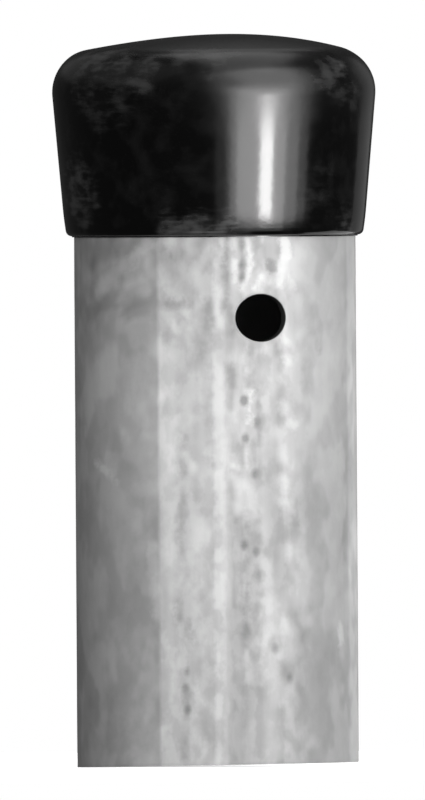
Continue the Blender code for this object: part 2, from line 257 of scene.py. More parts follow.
def open_mouth(around, height, depth, row, column):
    """Pulls the strip's grid open into the hole, with its edge rounded in to the middle of the wall."""
    rows, columns = np.indices(around.shape)
    up, right = rows - row, columns - column
    ring = np.maximum(abs(up), abs(right))
    sideways = abs(right) >= abs(up)
    share = np.where(sideways, up, right) / np.where(sideways, np.where(right, right, 1), up)
    turn = np.where(sideways, share, 2 - share) * math.pi / 4
    turn += np.where(np.where(sideways, right, up) < 0, math.pi, 0)
    step = ring - MOUTH_RING
    setback = np.interp(step, (0, 1, 2, 3), (0, 0, CORNER_SHARE * EDGE_ROUND, EDGE_ROUND))
    blend = np.clip((step - 3) / (PATCH_RING - MOUTH_RING - 3), 0, 1)
    to_border = PATCH_RING / np.maximum(ring, 1)
    border_x = right * to_border * (around[row, column + 1] - around[row, column])
    border_z = up * to_border * (height[row + 1, column] - height[row, column])
    mouth_x = np.cos(turn) * (MOUTH_WIDTH / 2 + setback)
    mouth_z = np.sin(turn) * (MOUTH_HEIGHT / 2 + setback)
    patch = ring <= PATCH_RING
    centre_x, centre_z = around[row, column], height[row, column]
    around[patch] = (centre_x + mouth_x + (border_x - mouth_x) * blend)[patch]
    height[patch] = (centre_z + mouth_z + (border_z - mouth_z) * blend)[patch]
    rolled_in = np.interp(step, (0, 1, 2, 3), (TUBE_WALL / 2, EDGE_ROUND, CORNER_SHARE * EDGE_ROUND, 0))
    depth[patch] = rolled_in[patch]
    return ring > MOUTH_RING


def strip_mesh(radius, length):
    """The flat strip with both sides of its wall: X runs round the tube to be, Y into the wall and Z up."""
    turns = [np.linspace(start, end, count, endpoint=False) for start, end, count in COLUMN_ZONES]
    turns = np.radians(np.append(np.concatenate(turns), COLUMN_ZONES[-1][1]))
    row_height = (MOUTH_ABOVE_FOOT - FOOT_ROUND) / ROWS_BELOW_MOUTH
    regular = MOUTH_ABOVE_FOOT + row_height * np.arange(-ROWS_BELOW_MOUTH, ROWS_ABOVE_MOUTH + 1)
    corner = CORNER_SHARE * EDGE_ROUND
    foot_corner = CORNER_SHARE * FOOT_ROUND
    end_heights = [length - EDGE_ROUND, length - corner, length, length]
    heights = np.concatenate(([0, 0, foot_corner], regular, end_heights))
    depths = np.zeros(len(heights))
    depths[:3] = (TUBE_WALL / 2, FOOT_ROUND, foot_corner)
    depths[:-4:-1] = (TUBE_WALL / 2, EDGE_ROUND, corner)
    around, height = np.meshgrid(turns * radius, heights)
    depth = np.repeat(depths[:, None], len(turns), axis=1)
    mouth_row = 3 + ROWS_BELOW_MOUTH
    kept = np.ones(around.shape, bool)
    for middle in (0.0, math.pi):
        column = int(np.argmin(abs(turns - middle)))
        kept &= open_mouth(around, height, depth, mouth_row, column)
    points = []
    faces = []
    rows, columns = around.shape
    for side, into_wall in enumerate((depth, TUBE_WALL - depth)):
        first = side * rows * columns
        points += np.stack((around, into_wall, height), axis=-1).reshape(-1, 3).tolist()
        for row in range(rows - 1):
            for column in range(columns - 1):
                if not kept[row : row + 2, column : column + 2].any():
                    continue
                low = first + row * columns + column
                face = (low, low + 1, low + columns + 1, low + columns)
                faces.append(face if side == 0 else face[::-1])
    mesh = bpy.data.meshes.new("flat_strip")
    mesh.from_pydata(points, [], faces)

    # How light the zinc is at each point, with the painted shadow of the cap and the painted edge highlight
    # among the clouds. The clouds' borders wander by about a millimetre.
    mm_round, _, mm_up = np.array(points).T * 1000
    mm_round -= radius * SEAM_TURN * 1000
    tone = np.ones(len(points))
    wavy_round = mm_round + 0.9 * np.sin(mm_up / 1.9 + 0.3 * mm_round) + 0.5 * np.sin(mm_up / 0.8)
    wavy_up = mm_up + 1.4 * np.sin(mm_round / 2.1 + 1.0) + 0.6 * np.sin(mm_round / 0.9)
    for middle, up, reach_round, reach_up, share in CLOUDS_AND_PAINTED_LIGHT:
        away = ((wavy_round - middle) / reach_round) ** 4 + ((wavy_up - up) / reach_up) ** 4
        tone += share * np.exp(-away)
    mesh.attributes.new("tone", "FLOAT", "POINT").data.foreach_set("value", tone)

    work = bmesh.new()
    work.from_mesh(mesh)
    bmesh.ops.delete(work, geom=[v for v in work.verts if not v.link_faces], context="VERTS")
    work.to_mesh(mesh)
    work.free()
    return mesh


def pit_points(radius):
    """The pits as loose points on the flat strip, squashed so that a round reach makes each a tall pit."""
    mesh = bpy.data.meshes.new("pit_points")
    seam = radius * SEAM_TURN
    mesh.from_pydata([(seam + x / 1000, 0, z / 1000 / PIT_TALLNESS) for x, z, _ in PITS], [], [])
    mesh.attributes.new("strength", "FLOAT", "POINT").data.foreach_set("value", [pit[2] for pit in PITS])
    return bpy.data.objects.new("pit_points", mesh)


def mark_lines(name, marks, radius):
    """These marks as loose lines on the flat strip, each line with half its mark's width and its strength."""
    seam = radius * SEAM_TURN
    ends = []
    for x1, z1, x2, z2, _, _ in marks:
        ends += [(seam + x1 / 1000, 0, z1 / 1000), (seam + x2 / 1000, 0, z2 / 1000)]
    mesh = bpy.data.meshes.new(name)
    mesh.from_pydata(ends, [(2 * i, 2 * i + 1) for i in range(len(marks))], [])
    half_widths = [mark[4] / 2000 for mark in marks]
    strengths = [mark[5] for mark in marks]
    mesh.attributes.new("half_width", "FLOAT", "EDGE").data.foreach_set("value", half_widths)
    mesh.attributes.new("strength", "FLOAT", "EDGE").data.foreach_set("value", strengths)
    return bpy.data.objects.new(name, mesh)


def nearest_value(tree, shapes, place, name, domain):
    """What the attribute with this name says on the point or edge nearest to the place."""
    nearest = add(
        tree,
        "GeometryNodeSampleNearest",
        {"Geometry": shapes, "Sample Position": place},
        domain=domain,
    )
    value = add(tree, "GeometryNodeInputNamedAttribute", {"Name": name}, data_type="FLOAT")
    return add(
        tree,
        "GeometryNodeSampleIndex",
        {"Geometry": shapes, "Value": value, "Index": nearest},
        data_type="FLOAT",
        domain=domain,
    )


def nearest_mark(tree, marks, place):
    """How far a place lies outside the nearest mark's border, in millimetres, and that mark's strength."""
    lines = add(tree, "GeometryNodeObjectInfo", {"Object": marks}, out="Geometry")
    reach = add(
        tree,
        "GeometryNodeProximity",
        {"Geometry": lines, "Sample Position": place},
        out="Distance",
        target_element="EDGES",
    )
    half_width = nearest_value(tree, lines, place, "half_width", "EDGE")
    outside = add(tree, "ShaderNodeMath", {0: reach, 1: half_width}, operation="SUBTRACT")
    outside = add(tree, "ShaderNodeMath", {0: outside, 1: 1000.0}, operation="MULTIPLY")
    return outside, nearest_value(tree, lines, place, "strength", "EDGE")


def rolling_tree():
    """Rolls the flat strip into the tube, and gives its outside zinc lumps, the scarfed weld and its pits."""
    tree, given = new_tree(
        "Roll the strip and coat the tube",
        {
            "Float": (
                "Tube radius", "Wall", "Seam turn", "Bead width", "Bead height", "Scarf width", "Scarf depth",
                "Scarf fade", "Saw slant", "Saw high side", "Saw reach", "Sawn height", "Lump height",
                "Lump size", "Lump squash", "Pit radius", "Pit depth", "Pit tallness", "Seed", "Merge reach",
            ),
            "Object": ("Bright marks", "Dark marks", "Pits"),
            "Material": ("Coat",),
        },
    )
    flat_place = add(tree, "GeometryNodeInputPosition")
    flat = add(tree, "ShaderNodeSeparateXYZ", {0: flat_place}, out=None).outputs
    turn = add(tree, "ShaderNodeMath", {0: flat["X"], 1: given["Tube radius"]}, operation="DIVIDE")
    sine = add(tree, "ShaderNodeMath", {0: turn}, operation="SINE")
    cosine = add(tree, "ShaderNodeMath", {0: turn}, operation="COSINE")

    # How far each point lies to the right of the weld, round the outside
    seam = add(tree, "ShaderNodeMath", {0: given["Seam turn"], 1: given["Tube radius"]}, operation="MULTIPLY")
    from_seam = add(tree, "ShaderNodeMath", {0: flat["X"], 1: seam}, operation="SUBTRACT")

    # One on the outside and nought from the middle of the wall inwards, and the same from the bore
    half_wall = add(tree, "ShaderNodeMath", {0: given["Wall"], 1: 0.5}, operation="MULTIPLY")
    outside = add(
        tree,
        "ShaderNodeMapRange",
        {"Value": flat["Y"], "From Min": 0.0, "From Max": half_wall, "To Min": 1.0, "To Max": 0.0},
    )
    inside = add(
        tree,
        "ShaderNodeMapRange",
        {"Value": flat["Y"], "From Min": half_wall, "From Max": given["Wall"], "To Min": 0.0, "To Max": 1.0},
    )

    # Zinc lumps, drawn out along the tube
    rolled = add(tree, "ShaderNodeCombineXYZ", {"X": sine, "Y": cosine})
    rolled = add(tree, "ShaderNodeVectorMath", {0: rolled, "Scale": given["Tube radius"]}, operation="SCALE")
    drawn = add(tree, "ShaderNodeMath", {0: flat["Z"], 1: given["Lump squash"]}, operation="MULTIPLY")
    drawn = add(tree, "ShaderNodeCombineXYZ", {"Z": drawn})
    place = add(tree, "ShaderNodeVectorMath", {0: rolled, 1: drawn}, operation="ADD")
    per_lump = add(tree, "ShaderNodeMath", {0: 1.0, 1: given["Lump size"]}, operation="DIVIDE")
    lumps = add(
        tree,
        "ShaderNodeTexNoise",
        {"Vector": place, "W": given["Seed"], "Scale": per_lump, "Detail": 2.0},
        noise_dimensions="4D",
    )
    lumps = add(tree, "ShaderNodeMath", {0: lumps, 1: 0.5}, operation="SUBTRACT")
    lumps = add(tree, "ShaderNodeMath", {0: lumps, 1: given["Lump height"]}, operation="MULTIPLY")

    # Pits, as the reach from the nearest pit point on the squashed strip
    squashed_height = add(
        tree,
        "ShaderNodeMath",
        {0: flat["Z"], 1: given["Pit tallness"]},
        operation="DIVIDE",
    )
    squashed = add(tree, "ShaderNodeCombineXYZ", {"X": flat["X"], "Z": squashed_height})
    pits = add(tree, "GeometryNodeObjectInfo", {"Object": given["Pits"]}, out="Geometry")
    reach = add(
        tree,
        "GeometryNodeProximity",
        {"Geometry": pits, "Sample Position": squashed},
        out="Distance",
        target_element="POINTS",
    )
    pit = add(
        tree,
        "ShaderNodeMapRange",
        {"Value": reach, "From Min": 0.0, "From Max": given["Pit radius"], "To Min": 1.0, "To Max": 0.0},
        interpolation_type="SMOOTHSTEP",
    )
    strength = nearest_value(tree, pits, squashed, "strength", "POINT")
    pit = add(tree, "ShaderNodeMath", {0: pit, 1: strength}, operation="MULTIPLY")
    pit_fall = add(tree, "ShaderNodeMath", {0: pit, 1: given["Pit depth"]}, operation="MULTIPLY")

    # The bead left inside the bore along the weld
    off_seam = add(tree, "ShaderNodeMath", {0: from_seam}, operation="ABSOLUTE")
    half_bead = add(tree, "ShaderNodeMath", {0: given["Bead width"], 1: 0.5}, operation="MULTIPLY")
    bead = add(
        tree,
        "ShaderNodeMapRange",
        {
            "Value": off_seam,
            "From Min": 0.0,
            "From Max": half_bead,
            "To Min": given["Bead height"],
            "To Max": 0.0,
        },
        interpolation_type="SMOOTHERSTEP",
    )

    # The weld's outer bead is shaved off almost flat
    scarf_edge = add(tree, "ShaderNodeMath", {0: given["Scarf width"], 1: 0.5}, operation="MULTIPLY")
    scarf_start = add(tree, "ShaderNodeMath", {0: scarf_edge, 1: given["Scarf fade"]}, operation="SUBTRACT")
    scarf = add(
        tree,
        "ShaderNodeMapRange",
        {
            "Value": off_seam,
            "From Min": scarf_start,
            "From Max": scarf_edge,
            "To Min": given["Scarf depth"],
            "To Max": 0.0,
        },
        interpolation_type="SMOOTHSTEP",
    )

    # The saw ran a little out of square, so the foot's edge rises towards one side
    off_high = add(tree, "ShaderNodeMath", {0: turn, 1: given["Saw high side"]}, operation="SUBTRACT")
    lift = add(tree, "ShaderNodeMath", {0: off_high}, operation="COSINE")
    lift = add(tree, "ShaderNodeMath", {0: lift, 1: 1.0}, operation="ADD")
    lift = add(tree, "ShaderNodeMath", {0: lift, 1: given["Tube radius"]}, operation="MULTIPLY")
    lift = add(tree, "ShaderNodeMath", {0: lift, 1: given["Saw slant"]}, operation="MULTIPLY")
    lift = add(
        tree,
        "ShaderNodeMapRange",
        {"Value": flat["Z"], "From Min": 0.0, "From Max": given["Saw reach"], "To Min": lift, "To Max": 0.0},
    )
    new_z = add(tree, "ShaderNodeMath", {0: flat["Z"], 1: lift}, operation="ADD")

    # Depth of each point below the tube's outside, with the relief of both sides, and the strip rolled to it
    relief = add(tree, "ShaderNodeMath", {0: pit_fall, 1: lumps}, operation="SUBTRACT")
    relief = add(tree, "ShaderNodeMath", {0: relief, 1: scarf}, operation="ADD")
    relief = add(tree, "ShaderNodeMath", {0: relief, 1: outside}, operation="MULTIPLY")
    bead = add(tree, "ShaderNodeMath", {0: bead, 1: inside}, operation="MULTIPLY")
    depth = add(tree, "ShaderNodeMath", {0: flat["Y"], 1: relief}, operation="ADD")
    depth = add(tree, "ShaderNodeMath", {0: depth, 1: bead}, operation="ADD")
    reach_out = add(tree, "ShaderNodeMath", {0: given["Tube radius"], 1: depth}, operation="SUBTRACT")
    new_x = add(tree, "ShaderNodeMath", {0: sine, 1: reach_out}, operation="MULTIPLY")
    new_y = add(tree, "ShaderNodeMath", {0: cosine, 1: reach_out}, operation="MULTIPLY")
    new_y = add(tree, "ShaderNodeMath", {0: new_y, 1: -1.0}, operation="MULTIPLY")
    rolled_place = add(tree, "ShaderNodeCombineXYZ", {"X": new_x, "Y": new_y, "Z": new_z})

    # One on the sawn face of the foot and on its broken edges, where bare steel is painted near white, partly
    # as painted light on the down-facing edge
    sawn = add(tree, "ShaderNodeMath", {0: flat["Z"], 1: given["Sawn height"]}, operation="LESS_THAN")

    # What the zinc's material reads, kept for each face's corners so that it is true at the strip's edges
    mm_from_weld = add(tree, "ShaderNodeMath", {0: from_seam, 1: 1000.0}, operation="MULTIPLY")
    mm_from_bright, brightness = nearest_mark(tree, given["Bright marks"], flat_place)
    mm_from_dark, darkness = nearest_mark(tree, given["Dark marks"], flat_place)
    shape = given["Geometry"]
    for name, value in (
        ("mm_from_weld", mm_from_weld),
        ("pit", pit),
        ("outside", outside),
        ("sawn", sawn),
        ("mm_from_bright", mm_from_bright),
        ("brightness", brightness),
        ("mm_from_dark", mm_from_dark),
        ("darkness", darkness),
    ):
        shape = add(
            tree,
            "GeometryNodeStoreNamedAttribute",
            {"Geometry": shape, "Name": name, "Value": value},
            data_type="FLOAT",
            domain="CORNER",
        )
    shape = add(tree, "GeometryNodeSetPosition", {"Geometry": shape, "Position": rolled_place})
    shape = add(tree, "GeometryNodeMergeByDistance", {"Geometry": shape, "Distance": given["Merge reach"]})
    shape = add(tree, "GeometryNodeSetShadeSmooth", {0: shape})
    shape = add(tree, "GeometryNodeRealizeInstances", {0: shape})
    shape = add(tree, "GeometryNodeSetMaterial", {"Geometry": shape, "Material": given["Coat"]})
    add(tree, "NodeGroupOutput", {"Geometry": shape}, out=None)
    return tree


# The zinc's colour round the tube: millimetres to the right of the weld's middle, and the colour there. The
# sprayed zinc is the lighter band in the middle, and a streak lies on each side of the shaved weld.
# The lighter strip from 31 to 37.5 mm is a painted highlight on the tube's right edge as the camera sees it,
# and the darker zinc from 35 to 52 mm left of the weld is painted shade on its left edge.
ZINC_AND_EDGE_LIGHT_ACROSS = (
    (-52.0, "#808080"), (-41.0, "#818181"), (-35.0, "#898989"), (-28.0, "#8f8f8f"), (-19.0, "#8d8d8d"),
    (-18.5, "#a6a6a6"), (-16.0, "#aaaaaa"), (-13.5, "#9f9f9f"), (-9.0, "#a0a0a0"), (-7.0, "#9a9a9a"),
    (-6.2, "#a7a7a7"), (-4.4, "#a7a7a7"), (-3.8, "#999999"), (-2.9, "#8e8e8e"), (-2.3, "#909090"),
    (-0.4, "#868686"), (0.4, "#8e8e8e"), (2.6, "#8a8a8a"), (3.8, "#919191"), (4.6, "#969696"),
    (6.2, "#969696"), (7.2, "#8d8d8d"), (9.0, "#919191"), (11.5, "#919191"), (14.5, "#8e8e8e"),
    (29.5, "#909090"), (31.0, "#a0a0a0"), (37.5, "#a9a9a9"), (40.0, "#8b8b8b"),
)
ZINC_SPAN = 60.0
BACK_ZINC = "#949494"
BRIGHT_ZINC = "#b4b4b4"
# Dark stains, and painted shade along the shaved weld's left step
STAIN_AND_STEP_SHADE_ZINC = "#626262"
PIT_GREY = "#464646"
BORE_ZINC = "#8b8b8b"
# The drilled mouths' walls, painted near black as the shade inside the hole
MOUTH_WALL_SHADE = "#252525"
# Bare sawn steel, near white partly as painted light on the foot's down-facing edge
SAWN_STEEL_AND_EDGE_LIGHT = "#e6e6e6"


def new_material(name):
    """An empty material with this name, and its node tree."""
    material = bpy.data.materials.new(name)
    material.use_nodes = True
    material.node_tree.nodes.clear()
    return material, material.node_tree


def galvanised_steel():
    """Hot-dip zinc, dulled outdoors: a soft metal sheen, cloudy grey patches drawn out along the tube, and a
    lighter, rougher sprayed band over the weld, mottled in spots of 1.5 to 4 mm, streaked and pitted."""
    material, tree = new_material("hot-dip galvanised steel")
    place = add(tree, "ShaderNodeTexCoord", out="Object")
    from_weld = add(tree, "ShaderNodeAttribute", out="Fac", attribute_name="mm_from_weld")
    height = add(tree, "ShaderNodeSeparateXYZ", {0: place}, out="Z")

    # Broad clouds of 24 mm, clouds of 9 mm, both soft and with clear borders, and clear patches of 3.5 mm
    drawn = add(tree, "ShaderNodeMapping", {"Vector": place, "Scale": (1.0, 1.0, 0.7)})
    broad = add(tree, "ShaderNodeTexNoise", {"Vector": drawn, "Scale": 1 / 0.024, "Detail": 1.0})
    clouds = add(tree, "ShaderNodeTexNoise", {"Vector": drawn, "Scale": 1 / 0.009, "Detail": 2.0})
    spots = add(tree, "ShaderNodeTexNoise", {"Vector": drawn, "Scale": 1 / 0.0035, "Detail": 3.0})
    patches = add(
        tree,
        "ShaderNodeMapRange",
        {"Value": spots, "From Min": 0.40, "From Max": 0.60, "To Min": 0.0, "To Max": 1.0},
        interpolation_type="SMOOTHSTEP",
    )
    bordered = add(
        tree,
        "ShaderNodeMapRange",
        {"Value": clouds, "From Min": 0.44, "From Max": 0.56, "To Min": 0.0, "To Max": 1.0},
        interpolation_type="SMOOTHSTEP",
    )

    # Streaks 2 mm wide and 30 mm long, as the strip was drawn through the zinc
    stretched = add(tree, "ShaderNodeMapping", {"Vector": place, "Scale": (1.0, 1.0, 0.06)})
    streaks = add(tree, "ShaderNodeTexNoise", {"Vector": stretched, "Scale": 1 / 0.0020, "Detail": 2.0})

    # Zinc grain is finer than the picture shows, so it is drawn at 0.7 mm
    grain = add(tree, "ShaderNodeTexNoise", {"Vector": place, "Scale": 1 / 0.0007, "Detail": 2.0})

    # The zinc's colour across the band: the border at its left is straight, the one at its right wavers, and
    # the painted highlight strip far to the right is straight again
    sway = add(
        tree,
        "ShaderNodeMapRange",
        {"Value": from_weld, "From Min": -12.0, "From Max": 10.0, "To Min": 0.4, "To Max": 6.0},
    )
    straight = add(
        tree,
        "ShaderNodeMapRange",
        {"Value": from_weld, "From Min": 20.0, "From Max": 28.0, "To Min": 1.0, "To Max": 0.12},
    )
    sway = add(tree, "ShaderNodeMath", {0: sway, 1: straight}, operation="MULTIPLY")
    waver = add(tree, "ShaderNodeMath", {0: spots, 1: 0.5}, operation="SUBTRACT")
    waver = add(tree, "ShaderNodeMath", {0: waver, 1: sway}, operation="MULTIPLY")
    across = add(tree, "ShaderNodeMath", {0: from_weld, 1: waver}, operation="ADD")
    across = add(
        tree,
        "ShaderNodeMapRange",
        {"Value": across, "From Min": -ZINC_SPAN, "From Max": ZINC_SPAN, "To Min": 0.0, "To Max": 1.0},
    )
    # The ramp also carries the painted highlight and painted shade at the tube's edges
    ramp = add(tree, "ShaderNodeValToRGB", {"Fac": across}, out=None)
    stops = ramp.color_ramp.elements
    stops[0].color = stops[1].color = linear(BACK_ZINC)
    for distance, hex_code in ZINC_AND_EDGE_LIGHT_ACROSS:
        stops.new((distance + ZINC_SPAN) / (2 * ZINC_SPAN)).color = linear(hex_code)
    colour = ramp.outputs["Color"]

    # One within the band and nought beside it
    in_band = add(
        tree,
        "ShaderNodeMapRange",
        {"Value": from_weld, "From Min": -18.9, "From Max": -18.4, "To Min": 0.0, "To Max": 1.0},
    )
    past_band = add(
        tree,
        "ShaderNodeMapRange",
        {"Value": from_weld, "From Min": 12.0, "From Max": 16.0, "To Min": 1.0, "To Max": 0.0},
    )
    in_band = add(tree, "ShaderNodeMath", {0: in_band, 1: past_band}, operation="MULTIPLY")

    # A little darker towards the ground, a painted shade for lamps whose light falls off downwards, then
    # lighter and darker by each pattern, with how strongly it shows beside the band and within it
    shade = add(
        tree,
        "ShaderNodeMapRange",
        {"Value": height, "From Min": 0.0, "From Max": 0.085, "To Min": 0.88, "To Max": 1.02},
    )
    for pattern, beside, within in (
        (broad, 0.40, 0.40),
        (clouds, 0.40, 0.20),
        (bordered, 0.14, 0.06),
        (patches, 0.06, 0.13),
        (streaks, 0.04, 0.16),
        (grain, 0.04, 0.04),
    ):
        part = add(tree, "ShaderNodeMath", {0: pattern, 1: 0.5}, operation="SUBTRACT")
        share = add(
            tree,
            "ShaderNodeMapRange",
            {"Value": in_band, "From Min": 0.0, "From Max": 1.0, "To Min": beside, "To Max": within},
        )
        shade = add(tree, "ShaderNodeMath", {0: part, 1: share, 2: shade}, operation="MULTIPLY_ADD")
    # The clouds' lightness, with the painted cap shadow and painted edge highlight among them
    tone = add(tree, "ShaderNodeAttribute", out="Fac", attribute_name="tone")
    shade = add(tree, "ShaderNodeMath", {0: shade, 1: tone}, operation="MULTIPLY")
    colour = add(tree, "ShaderNodeVectorMath", {0: colour, "Scale": shade}, operation="SCALE")

    # Bright runs and dark stains, with ragged borders that fade the more, the fainter the mark is. The dark
    # ones along the shaved weld's left step are painted shade.
    fringe = add(
        tree,
        "ShaderNodeTexNoise",
        {"Vector": place, "Scale": 1 / 0.0016, "Detail": 3.0, "Roughness": 0.6},
    )
    ragged = add(tree, "ShaderNodeMath", {0: spots, 1: fringe}, operation="ADD")
    ragged = add(tree, "ShaderNodeMath", {0: ragged, 1: 1.0}, operation="SUBTRACT")
    for distance_name, strength_name, mark_colour in (
        ("mm_from_bright", "brightness", BRIGHT_ZINC),
        ("mm_from_dark", "darkness", STAIN_AND_STEP_SHADE_ZINC),
    ):
        reach = add(tree, "ShaderNodeAttribute", out="Fac", attribute_name=distance_name)
        reach = add(tree, "ShaderNodeMath", {0: ragged, 1: 2.6, 2: reach}, operation="MULTIPLY_ADD")
        strength = add(tree, "ShaderNodeAttribute", out="Fac", attribute_name=strength_name)
        spread = add(
            tree,
            "ShaderNodeMapRange",
            {"Value": strength, "From Min": 0.2, "From Max": 0.8, "To Min": 2.4, "To Max": 1.0},
        )
        reach = add(tree, "ShaderNodeMath", {0: reach, 1: spread}, operation="DIVIDE")
        shown = add(
            tree,
            "ShaderNodeMapRange",
            {"Value": reach, "From Min": -0.6, "From Max": 0.7, "To Min": 1.0, "To Max": 0.0},
            interpolation_type="SMOOTHSTEP",
        )
        shown = add(tree, "ShaderNodeMath", {0: shown, 1: strength}, operation="MULTIPLY")
        colour = add(
            tree,
            "ShaderNodeMix",
            {0: shown, 6: colour, 7: linear(mark_colour)},
            out=2,
            data_type="RGBA",
        )

    # Dirt in the pits, ragged as well
    pit = add(tree, "ShaderNodeAttribute", out="Fac", attribute_name="pit")
    uneven = add(tree, "ShaderNodeMath", {0: ragged, 1: 1.6, 2: 1.0}, operation="MULTIPLY_ADD")
    pit = add(tree, "ShaderNodeMath", {0: pit, 1: uneven}, operation="MULTIPLY")
    pit = add(
        tree,
        "ShaderNodeMapRange",
        {"Value": pit, "From Min": 0.1, "From Max": 0.8, "To Min": 0.0, "To Max": 0.55},
    )
    colour = add(tree, "ShaderNodeMix", {0: pit, 6: colour, 7: linear(PIT_GREY)}, out=2, data_type="RGBA")

    # Inside the bore the zinc is plain
    outside = add(tree, "ShaderNodeAttribute", out="Fac", attribute_name="outside")
    colour = add(
        tree,
        "ShaderNodeMix",
        {0: outside, 6: linear(BORE_ZINC), 7: colour},
        out=2,
        data_type="RGBA",
    )

    # The drilled wall of each mouth is bare steel, painted near black as shade, as dark as the hole's unlit
    # inside
    off_drill = add(
        tree,
        "ShaderNodeVectorMath",
        {0: place, 1: (0.0, 0.0, MOUTH_ABOVE_FOOT)},
        operation="SUBTRACT",
    )
    to_oval = (2 / MOUTH_WIDTH, 0.0, 2 / MOUTH_HEIGHT)
    off_drill = add(tree, "ShaderNodeVectorMath", {0: off_drill, 1: to_oval}, operation="MULTIPLY")
    off_drill = add(tree, "ShaderNodeVectorMath", {0: off_drill}, out="Value", operation="LENGTH")
    painted_mouth_shade = add(
        tree,
        "ShaderNodeMapRange",
        {"Value": off_drill, "From Min": 1.01, "From Max": 1.03, "To Min": 1.0, "To Max": 0.0},
    )
    colour = add(
        tree,
        "ShaderNodeMix",
        {0: painted_mouth_shade, 6: colour, 7: linear(MOUTH_WALL_SHADE)},
        out=2,
        data_type="RGBA",
    )

    # The sawn foot is bare, bright steel, and its near white is also painted light on the down-facing broken
    # edge, which the lamps leave in shade
    sawn = add(tree, "ShaderNodeAttribute", out="Fac", attribute_name="sawn")
    colour = add(tree, "ShaderNodeMix", {0: sawn, 6: colour, 7: linear(SAWN_STEEL_AND_EDGE_LIGHT)}, out=2, data_type="RGBA")

    # Rougher where the zinc is darker, and a fine relief
    roughness = add(
        tree,
        "ShaderNodeMapRange",
        {"Value": shade, "From Min": 0.8, "From Max": 1.2, "To Min": 0.72, "To Max": 0.55},
    )
    relief = add(tree, "ShaderNodeMath", {0: grain, 1: 0.3, 2: spots}, operation="MULTIPLY_ADD")
    bump = add(tree, "ShaderNodeBump", {"Height": relief, "Strength": 0.12, "Distance": 0.0003})
    shader = add(
        tree,
        "ShaderNodeBsdfPrincipled",
        {"Base Color": colour, "Metallic": 0.35, "Roughness": roughness, "Normal": bump},
    )
    add(tree, "ShaderNodeOutputMaterial", {"Surface": shader}, out=None)
    return material


tube_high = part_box("post_tube")[1]
tube = placed("galvanised_tube", strip_mesh(tube_high.x, tube_high.z))
pits = pit_points(tube_high.x)
bright_lines = mark_lines("bright_lines", BRIGHT_MARKS, tube_high.x)
dark_lines = mark_lines("dark_lines", DARK_MARKS, tube_high.x)
grow(
    tube,
    rolling_tree(),
    {
        "Tube radius": tube_high.x,
        "Wall": TUBE_WALL,
        "Seam turn": SEAM_TURN,
        "Bead width": BEAD_WIDTH,
        "Bead height": BEAD_HEIGHT,
        "Scarf width": SCARF_WIDTH,
        "Scarf depth": SCARF_DEPTH,
        "Scarf fade": SCARF_FADE,
        "Saw slant": math.tan(SAW_SLANT),
        "Saw high side": SAW_HIGH_SIDE,
        "Saw reach": SAW_REACH,
        "Sawn height": SAWN_HEIGHT,
        "Lump height": LUMP_HEIGHT,
        "Lump size": LUMP_SIZE,
        "Lump squash": LUMP_SQUASH,
        "Bright marks": bright_lines,
        "Dark marks": dark_lines,
        "Pits": pits,
        "Pit radius": PIT_RADIUS,
        "Pit depth": PIT_DEPTH,
        "Pit tallness": PIT_TALLNESS,
        "Seed": LUMP_SEED,
        "Merge reach": MERGE_REACH,
        "Coat": galvanised_steel(),
    },
)
for helper in (pits, bright_lines, dark_lines):
    bpy.data.objects.remove(helper)
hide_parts("post_tube")
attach(tube, "root")


# The cap: one moulding of black plastic, pressed over the tube's end. Its skirt curls out from the rim and
# flares to a round shoulder under a shallow crown that leans a little. Ribs inside grip the tube, and their
# ledges stop its end.
CAP_WALL = 0.0015
CAP_FLARE = math.radians(5.0)
SHOULDER_RADIUS = 0.0095
DOME_RADIUS = 0.123
RIM_ROUND = 0.0013
RIM_INNER_BREAK = 0.00015
RIM_CURL_HEIGHT = 0.0062
RIM_CURL_RADIUS = 0.070
CROWN_LEAN = 0.028
CROWN_LEAN_WAY = math.radians(-19.15)
RIB_COUNT = 12
RIB_THICKNESS = 0.0012
RIB_START = 0.0045
RIB_LEAD_IN = 0.0020
RIB_GAP = 0.0003
STOP_LEDGE_REACH = 0.0040
ROUND_STEPS = 192
ARC_STEPS = 20
RIM_STEPS = 8
SHARP_FROM = math.radians(35.0)


def arc(centre, radius, start, end, steps):
    """Points on an arc in the (radius, height) plane."""
    turns = np.linspace(start, end, steps + 1)
    return [(centre[0] + radius * math.cos(t), centre[1] + radius * math.sin(t)) for t in turns]


def shoulder_centre(rim_radius, crown_height):
    """Centre of the shoulder's arc, which touches the flared skirt and runs smoothly into the crown."""
    slope = math.tan(CAP_FLARE)
    at_base = rim_radius - SHOULDER_RADIUS / math.cos(CAP_FLARE)
    dome_base = crown_height - DOME_RADIUS
    a = 1 + slope**2
    b = 2 * (at_base * slope - dome_base)
    c = at_base**2 + dome_base**2 - (DOME_RADIUS - SHOULDER_RADIUS) ** 2
    height = (-b + math.sqrt(b**2 - 4 * a * c)) / (2 * a)
    return at_base + slope * height, height


def shell_side(rim_radius, crown_height, inset):
    """One side of the shell from its rim to the middle of its crown, this far in from the outside."""
    centre = shoulder_centre(rim_radius, crown_height)
    dome_base = crown_height - DOME_RADIUS
    dome_start = math.atan2(centre[1] - dome_base, centre[0])
    shoulder = arc(centre, SHOULDER_RADIUS - inset, -CAP_FLARE, dome_start, ARC_STEPS)
    dome = arc((0.0, dome_base), DOME_RADIUS - inset, dome_start, math.pi / 2, ARC_STEPS)
    dome[-1] = (0.0, crown_height - inset)
    return [(rim_radius - inset / math.cos(CAP_FLARE), 0.0), *shoulder, *dome[1:]]


